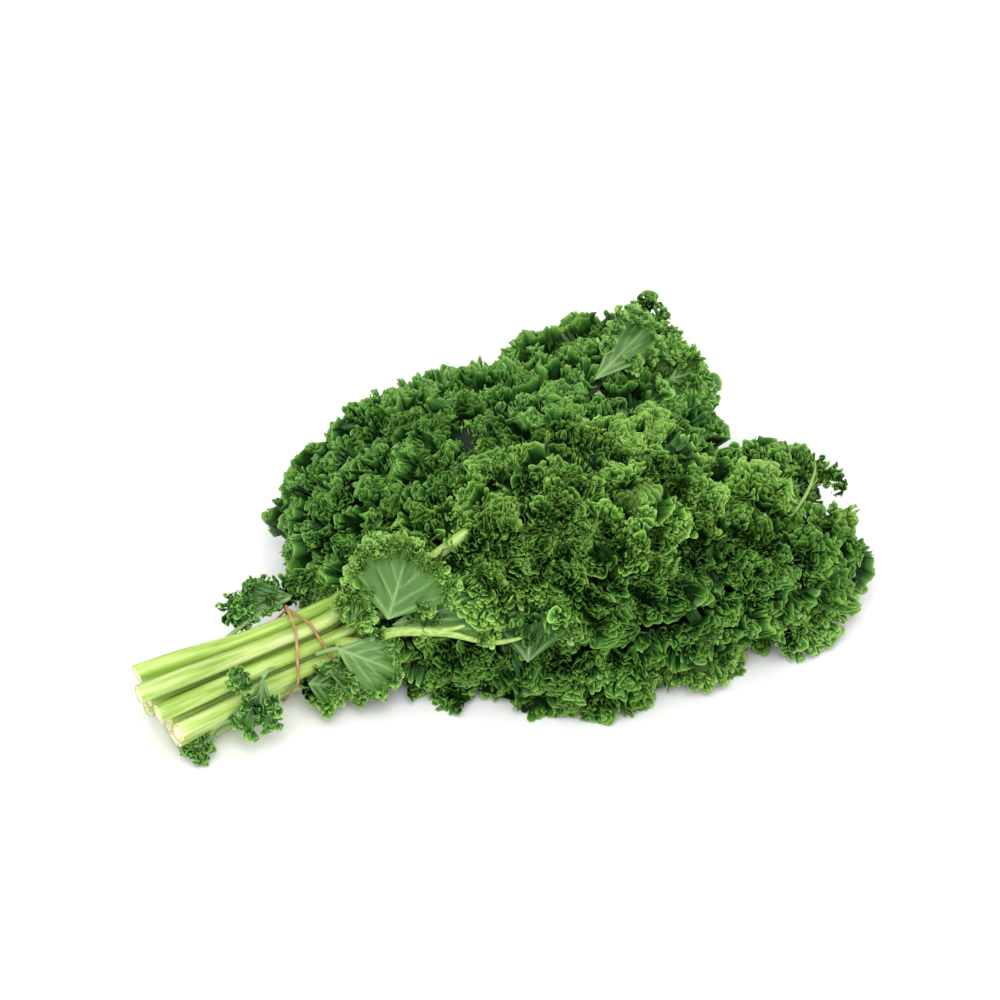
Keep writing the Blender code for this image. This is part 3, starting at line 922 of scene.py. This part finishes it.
stalkLook = stalkMaterial()
turns = np.linspace(0, 2 * math.pi, stalk["sides"] + 1)
for number, (row, column) in leafPlaces.items():
    local = np.random.default_rng(200 + number)
    line, radii = smoothLine(*stalkLine(row, column, number), stalk["step"])
    along, side, up = frames(line)
    phase = local.uniform(0, 6)
    count = len(line)
    share = np.arange(count) / (count - 1)
    ridge = (np.cos(5 * turns + phase) * 0.5 + np.cos(8 * turns + phase * 2) * 0.5) * stalk["ridge"]
    groove = stalk["groove"] * np.exp(-((turns - math.pi / 2) / stalk["grooveWide"]) ** 2)
    groove = groove[None, :] * ease(share * 2.6)[:, None]
    shape = (stalk["fill"] + ridge[None, :] * (1 - 0.5 * share[:, None]) - groove) * radii[:, None]
    knob = 1 + stalk["knob"] * np.sin(share * 23 + phase)
    rings = ringsAlong(line, side, up, turns, shape * knob[:, None], stalk["oval"])
    tilt = local.uniform(-stalk["slant"], stalk["slant"], 2)
    start = rings[0] - line[0]
    slant = (start @ side[0]) * tilt[0] + (start @ up[0]) * tilt[1]
    rows = [line[0] + start * scale + along[0] * back + along[0] * (slant * scale)[:, None]
            for scale, back, _ in cutRings]
    cuts = [np.full(len(turns), mark) for _, _, mark in cutRings]
    body = rings.copy()
    body[0] = line[0] + start * 0.985 + along[0] * stalk["bevel"] * 0.6
    for k, weight in enumerate((1, 0.6, 0.2)):    # the slant of the cut fades along the first rings
        body[k] = body[k] + along[0] * (slant * weight)[:, None]
    tip = np.repeat(line[-1][None], len(turns), 0) + along[-1] * 0.001
    allRings = np.concatenate([np.stack(rows), body, tip[None]])
    cut = np.concatenate([np.stack(cuts), np.zeros((count + 1, len(turns)))])
    greener = ease((share - stalk["greenFrom"]) / stalk["greenOver"])
    further = np.concatenate([np.zeros(len(rows)), greener, [1.0]])[:, None] * stalk["green"]
    tubes = [(allRings, {"cut": cut, "along": further, "tone": local.uniform(0, 1)})]
    tubes += [sideRib(*entry) for owner, *entry in sideRibs if owner == number]
    made = tubeMesh(f"kale_stalk_{number:02d}", tubes, stalkLook)
    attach(made, "root")
    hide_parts(f"stalk_{number:02d}")
print("stalks made")


band = {"width": 0.00085, "thick": 0.00055, "points": 260, "sides": 12, "swing": 0.014, "turns": 2,
        "clear": 0.00135, "over": 0.00235, "from": 70, "lean": 0.35, "leans": 3, "square": 0.7, "looks": 72}
bundleZ = lowestStalk + 2 * rowRise    # height of the bundle's middle at the band


def bundleSide(angle, clear):
    # where a stretched band lies round the stalks, in one direction from their middle
    spots = [(y, z - bundleZ) for y, z in (stalkSlot(*spot) for spot in leafCells)]
    best = 9.0
    for step in range(band["looks"]):
        turn = 2 * math.pi * step / band["looks"]
        facing = math.cos(turn - angle)
        if facing <= 0.05:
            continue
        reach = max(y * math.cos(turn) + z * math.sin(turn) for y, z in spots) + stalk["bound"] + clear
        best = min(best, reach / facing)
    return best * math.cos(angle), best * math.sin(angle) + bundleZ


def squared(values):
    return np.sign(values) * np.abs(values) ** band["square"]


bandLine = []
for step in range(band["points"] + 1):
    turn = 2 * band["turns"] * math.pi * step / band["points"]
    over = band["over"] * max(0.0, math.sin(turn / 2)) ** 3    # one turn crosses over the other
    y, z = bundleSide(turn + math.radians(band["from"]) - math.pi, band["clear"] + over)
    bandLine.append((band["swing"] * math.cos(turn / 2), y, z))
bandLine = placed(bandLine)
for _ in range(4):
    ring = bandLine[:-1]
    ring = (np.roll(ring, 1, 0) + 2 * ring + np.roll(ring, -1, 0)) / 4
    bandLine = np.vstack([ring, ring[:1]])
forward = np.roll(bandLine[:-1], -1, 0) - np.roll(bandLine[:-1], 1, 0)
forward = unit(np.vstack([forward, forward[:1]]))
outward = bandLine - np.array([bandX, bandY, bundleZ])
outward[:, 0] = 0
outward = unit(outward - forward * (outward * forward).sum(1, keepdims=True))
across = np.cross(forward, outward)
around = np.linspace(0, 2 * math.pi, band["sides"] + 1)
lean = band["lean"] * np.sin(np.linspace(0, 2 * math.pi, len(bandLine)) * band["leans"])
wide = across * np.cos(lean)[:, None] + outward * np.sin(lean)[:, None]
tall = outward * np.cos(lean)[:, None] - across * np.sin(lean)[:, None]
rings = (bandLine[:, None, :] + wide[:, None, :] * (squared(np.cos(around)) * band["width"])[None, :, None]
         + tall[:, None, :] * (squared(np.sin(around)) * band["thick"])[None, :, None])
rings[-1] = rings[0]


def bandMaterial():
    material, tree, shader = newMaterial("rubber band")
    where = node(tree, "ShaderNodeTexCoord").outputs["Object"]
    patches = noise(tree, where, 160.0, 4.0)
    colour = ramp(tree, patches, ((0.3, (0.29, 0.145, 0.05)), (0.55, (0.42, 0.235, 0.095)),
                                  (0.75, (0.55, 0.36, 0.185))))
    surface(tree, shader, colour, patches, (0.42, 0.62), noise(tree, where, 1400.0, 2.0), 0.3, 0.0002)
    return material


made = tubeMesh("rubber_band_loop", [(rings, {"tone": 0.5})], bandMaterial())
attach(made, "root")
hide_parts("rubber_band")
print("band made")


# the small leaves on the stalks: fans with base, tip, spread and paleness, curls with size and middle
leaflets = {
    "by_band": {
        "fans": (((0.0105, -0.0265, 0.045), (0.038, -0.041, 0.027), 0.72, 0.34),
                 ((-0.006, -0.022, 0.025), (0.012, -0.027, 0.018), 0.9, 0.0),
                 ((0.006, -0.023, 0.029), (0.026, -0.029, 0.021), 0.8, 0.0)),
        "curls": ((0.0085, (-0.003, -0.0235, 0.019)), (0.0085, (0.008, -0.0245, 0.022)),
                  (0.0085, (0.018, -0.027, 0.025))),
        "stem": ((0.003, -0.017, 0.038), (0.0085, -0.0225, 0.0425), (0.0125, -0.0265, 0.0448)),
        "tint": 0.62, "face": (0.0, -0.8, 0.5)},
    "hanging": {
        "fans": (((-0.0345, -0.0275, 0.049), (-0.042, -0.0315, 0.018), 0.42, 0.06),
                 ((-0.044, -0.025, 0.056), (-0.05, -0.0275, 0.05), 0.6, 0.05)),
        "curls": ((0.005, (-0.037, -0.032, 0.026)), (0.005, (-0.042, -0.032, 0.033))),
        "stem": ((-0.025, -0.0215, 0.045), (-0.031, -0.0255, 0.049), (-0.0352, -0.0278, 0.048)),
        "tint": 0.35, "face": (0.0, -0.85, 0.45)},
    "low": {
        "fans": (((-0.06, -0.0185, 0.013), (-0.077, -0.0205, 0.0095), 0.42, 0.12),),
        "curls": ((0.005, (-0.071, -0.0205, 0.009)),),
        "stem": ((-0.05, -0.013, 0.012), (-0.056, -0.0165, 0.0135), (-0.061, -0.0185, 0.0128)),
        "tint": 0.45, "face": (0.0, -0.7, 0.6)},
    "high": {
        "fans": (((0.008, 0.016, 0.053), (-0.018, 0.023, 0.058), 0.5, 0.0),
                 ((-0.006, 0.0165, 0.052), (-0.027, 0.0215, 0.054), 0.45, 0.05)),
        "curls": ((0.0085, (0.004, 0.019, 0.051)), (0.0085, (0.012, 0.017, 0.054)),
                  (0.0085, (0.004, 0.0205, 0.0585)), (0.0085, (-0.006, 0.0215, 0.0575)),
                  (0.0085, (0.014, 0.018, 0.06)), (0.005, (-0.03, 0.019, 0.053))),
        "stem": ((-0.042, 0.011, 0.044), (-0.02, 0.015, 0.049), (0.006, 0.016, 0.0525)),
        "tint": 0.15, "face": (-0.25, -0.35, 0.85)},
}
leafletStem = {"radius": 0.0012, "step": 0.0015, "sides": 8}

rng = np.random.default_rng(31)
for name, look in leaflets.items():
    sheet = Sheets()
    for base, tip, spread, pale in look["fans"]:
        fringedFan(rng, sheet, base, tip, faceOut, spread, pale, look["tint"], columns=60, curl=0.005)
    for size, spot in look["curls"]:
        axis = (Vector(look["face"]) + Vector((0.1 * rng.uniform(-1, 1), 0, 0))).normalized()
        limits = np.full(head["bins"], size * 1.1)
        points, rim = lobe(rng, size, place(spot), axis, limits, head["kinds"][size][1:])
        sheet.add(points, rim=rim, tint=look["tint"])
    line, thick = smoothLine(placed(look["stem"]), np.full(3, leafletStem["radius"]), leafletStem["step"])
    _, side, up = frames(line)
    turns = np.linspace(0, 2 * math.pi, leafletStem["sides"] + 1)
    sheet.add(ringsAlong(line, side, up, turns, thick[:, None]), rim=0.9, vein=0.9, tint=look["tint"])
    made = sheet.make(f"kale_leaflet_{name}", leafLook)
    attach(made, "root")
    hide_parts(f"leaflet_{name}")
print("leaflets made")


studio = {"azimuth": -33.3, "elevation": 38.0, "distance": 1.3, "lens": 85, "sensor": 36, "ambient": 0.95,
          "target": (0.1286, -0.0047, 0.0807), "key": 14.0, "keySize": 0.8, "keyAt": (-0.42, -0.7, 1.12),
          "floor": 3, "floorTone": 0.93, "floorRough": 0.9}

azimuth = math.radians(studio["azimuth"])
elevation = math.radians(studio["elevation"])
back = Vector((math.sin(azimuth) * math.cos(elevation), -math.cos(azimuth) * math.cos(elevation),
               math.sin(elevation)))
target = place(studio["target"])
cameraData = bpy.data.cameras.new("camera")
cameraData.lens = studio["lens"]
cameraData.sensor_width = studio["sensor"]
cameraObject = linked("camera", cameraData)
cameraObject.location = target + back * studio["distance"]
cameraObject.rotation_euler = (-back).to_track_quat("-Z", "Y").to_euler()
bpy.context.scene.camera = cameraObject

world = bpy.data.worlds.new("studio")
world.use_nodes = True
world.node_tree.nodes["Background"].inputs["Color"].default_value = (1, 1, 1, 1)
world.node_tree.nodes["Background"].inputs["Strength"].default_value = studio["ambient"]
bpy.context.scene.world = world

light = bpy.data.lights.new("key", "AREA")
light.size = studio["keySize"]
light.energy = studio["key"]
lightObject = linked("key", light)
lightObject.location = studio["keyAt"]
lightObject.rotation_euler = (target - Vector(studio["keyAt"])).to_track_quat("-Z", "Y").to_euler()

floorMesh = bpy.data.meshes.new("floor")
bm = bmesh.new()
bmesh.ops.create_grid(bm, x_segments=1, y_segments=1, size=studio["floor"])
bm.to_mesh(floorMesh)
bm.free()
floor = linked("floor", floorMesh)
floorLook, floorTree, floorShader = newMaterial("floor")
floorShader.inputs["Base Color"].default_value = (*[studio["floorTone"]] * 3, 1)
floorShader.inputs["Roughness"].default_value = studio["floorRough"]
floorMesh.materials.append(floorLook)

bpy.context.scene.view_settings.view_transform = "Standard"
